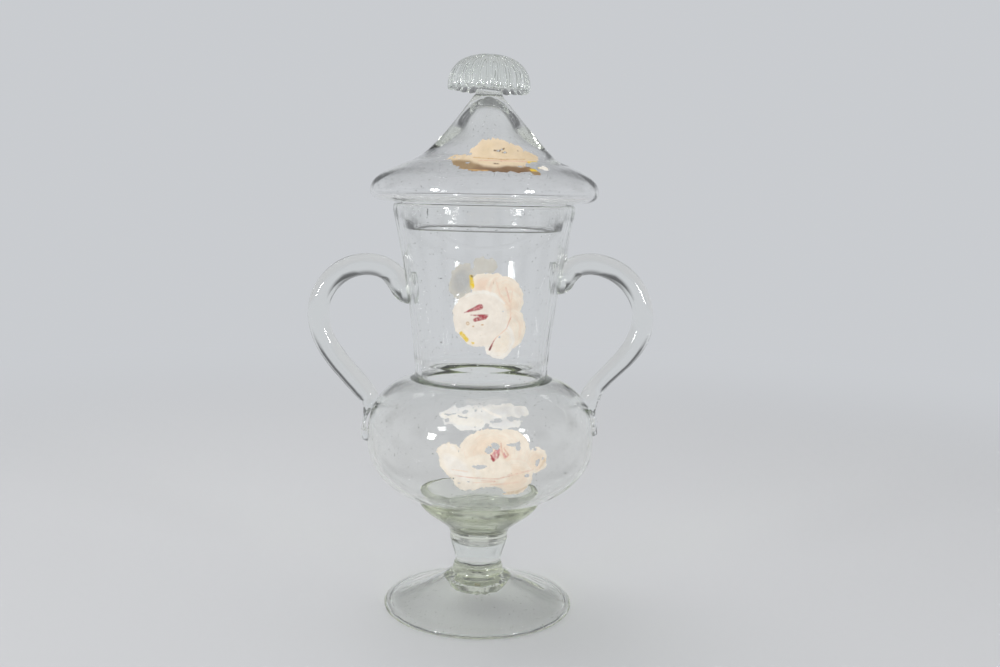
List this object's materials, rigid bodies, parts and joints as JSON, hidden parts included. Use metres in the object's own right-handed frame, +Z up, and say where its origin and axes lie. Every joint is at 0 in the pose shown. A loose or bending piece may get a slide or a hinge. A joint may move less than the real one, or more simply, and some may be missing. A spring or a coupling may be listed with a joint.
{
  "type": "covered vase",
  "caption": "Blown-glass covered vase: low conical foot, short stem, round bulb, tall flared neck, looped side handles, lift-off conical lid with a ribbed mushroom finial, and painted flowers.",
  "frame": {"origin": "centre of the foot on the surface that it stands on", "axes": "+Z up along the vase, +X towards the handle on the right as seen from the painted front, -Y towards the painted front"},
  "size_m": [0.1925, 0.1274, 0.3082],
  "materials": {
    "clear_glass": "fire-polished, colourless, with small seeds",
    "thick_glass": "fire-polished, faint yellow-green where it is thick",
    "cream_paint": "matt cold paint, flaked at its edges",
    "grey_paint": "matt cold paint, thin and flaked"
  },
  "bodies": {
    "vase": {"foot": "thick_glass", "stem_ring": "thick_glass", "stem": "clear_glass", "collar": "thick_glass", "bulb_cup": "thick_glass", "bulb": "clear_glass", "neck": "clear_glass", "left_handle": "clear_glass", "right_handle": "clear_glass", "bulb_flower": "cream_paint", "bulb_petals": "grey_paint", "neck_flower": "cream_paint", "neck_petals": "grey_paint"},
    "cover": {"lid": "clear_glass", "lid_flower": "cream_paint", "finial_stem": "clear_glass", "finial": "clear_glass"}
  },
  "joints": [
    {"name": "lid_lift", "type": "slide", "parent": "vase", "child": "cover", "axis": [0, 0, 1], "range_m": [0, 0.1]}
  ]
}
